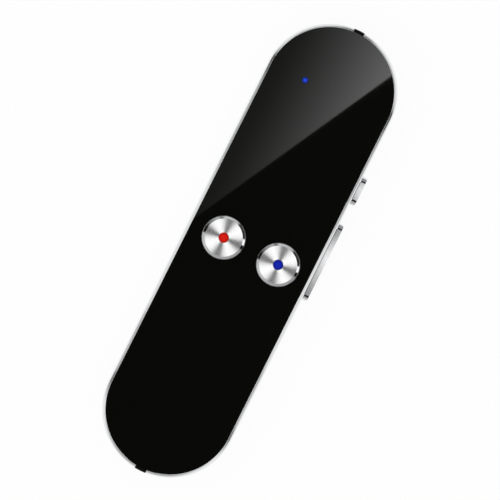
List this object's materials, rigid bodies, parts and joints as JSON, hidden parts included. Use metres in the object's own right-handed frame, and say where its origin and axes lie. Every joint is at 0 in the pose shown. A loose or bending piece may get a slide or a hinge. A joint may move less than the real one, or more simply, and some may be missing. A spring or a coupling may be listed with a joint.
{
  "type": "handheld translator",
  "caption": "Slim stadium-shaped handheld voice translator: glossy face with round talk keys and a status light, bright side band with power and volume keys, rear speaker and charging port.",
  "frame": {"origin": "middle of the flat back face, on the rear cover", "axes": "+X across the case towards the side keys, +Y along the case towards the status light, +Z out of the front face"},
  "size_m": [0.0404, 0.1401, 0.0114],
  "materials": {
    "band_chrome": "polished",
    "panel_black": "high gloss",
    "frame_grey": "moulded",
    "cover_black": "satin moulded",
    "insert_black": "satin moulded",
    "key_spun": "spun face, polished edge",
    "dot_red": "glossy",
    "dot_blue": "glossy",
    "side_key_chrome": "polished",
    "light_blue": "clear, lit",
    "led_white": "satin",
    "board_green": "solder mask",
    "plated_steel": "plated",
    "dark_plastic": "moulded",
    "battery_foil": "satin foil",
    "foam": "foam",
    "connector_cream": "moulded",
    "lead_red": "insulated",
    "lead_black": "insulated",
    "film": "pressed film",
    "boot_rubber": "moulded",
    "ceramic": "fired"
  },
  "bodies": {
    "case": {"antenna": "ceramic", "battery": "battery_foil", "battery_connector": "connector_cream", "battery_lead_black": "lead_black", "battery_lead_red": "lead_red", "battery_pad": "foam", "blue_switch_base": "plated_steel", "board_screw_1": "plated_steel", "board_screw_2": "plated_steel", "board_screw_3": "plated_steel", "board_screw_4": "plated_steel", "board_screw_5": "plated_steel", "bottom_insert": "insert_black", "crystal": "plated_steel", "front_panel": "panel_black", "led_light_pipe": "light_blue", "main_board": "board_green", "memory_chip": "dark_plastic", "microphone": "plated_steel", "microphone_boot": "boot_rubber", "mid_frame": "frame_grey", "power_switch_base": "plated_steel", "processor": "dark_plastic", "rear_cover": "cover_black", "red_switch_base": "plated_steel", "shield_can": "plated_steel", "side_band": "band_chrome", "speaker_basket": "dark_plastic", "speaker_diaphragm": "film", "speaker_gasket": "foam", "speaker_lead_black": "lead_black", "speaker_lead_red": "lead_red", "speaker_magnet": "plated_steel", "speaker_mesh": "dark_plastic", "status_led": "led_white", "top_insert": "insert_black", "usb_shell": "plated_steel", "usb_tongue": "dark_plastic", "volume_down_switch_base": "plated_steel", "volume_up_switch_base": "plated_steel"},
    "red_key": {"red_key_cap": "key_spun", "red_key_dot": "dot_red", "red_switch_plunger": "dark_plastic"},
    "blue_key": {"blue_key_cap": "key_spun", "blue_key_dot": "dot_blue", "blue_switch_plunger": "dark_plastic"},
    "power_button": {"power_key": "side_key_chrome", "power_switch_plunger": "dark_plastic"},
    "volume_rocker": {"volume_key": "side_key_chrome"},
    "volume_up_plunger": {"volume_up_switch_plunger": "dark_plastic"},
    "volume_down_plunger": {"volume_down_switch_plunger": "dark_plastic"}
  },
  "joints": [
    {"name": "red_key_press", "type": "slide", "parent": "case", "child": "red_key", "axis": [0, 0, -1], "range_m": [0, 0.00035], "stiffness_N_per_m": 400, "springref_m": -0.0005},
    {"name": "blue_key_press", "type": "slide", "parent": "case", "child": "blue_key", "axis": [0, 0, -1], "range_m": [0, 0.00035], "stiffness_N_per_m": 400, "springref_m": -0.0005},
    {"name": "power_key_press", "type": "slide", "parent": "case", "child": "power_button", "axis": [-1, 0, 0], "range_m": [0, 0.0003], "stiffness_N_per_m": 300, "springref_m": -0.0005},
    {"name": "volume_key_rock", "type": "hinge", "parent": "case", "child": "volume_rocker", "pos_m": [0.01702, 0.0063, 0.0054], "axis": [0, 0, 1], "range_deg": [-1.5, 1.5], "stiffness_Nm_per_rad": 0.01},
    {"name": "volume_up_press", "type": "slide", "parent": "case", "child": "volume_up_plunger", "axis": [-1, 0, 0], "range_m": [-0.0002, 0.0002]},
    {"name": "volume_down_press", "type": "slide", "parent": "case", "child": "volume_down_plunger", "axis": [-1, 0, 0], "range_m": [-0.0002, 0.0002]}
  ],
  "couplings": [
    {"joint": "volume_up_press", "follows": "volume_key_rock", "m_per_rad": 0.0075},
    {"joint": "volume_down_press", "follows": "volume_key_rock", "m_per_rad": -0.0075}
  ]
}
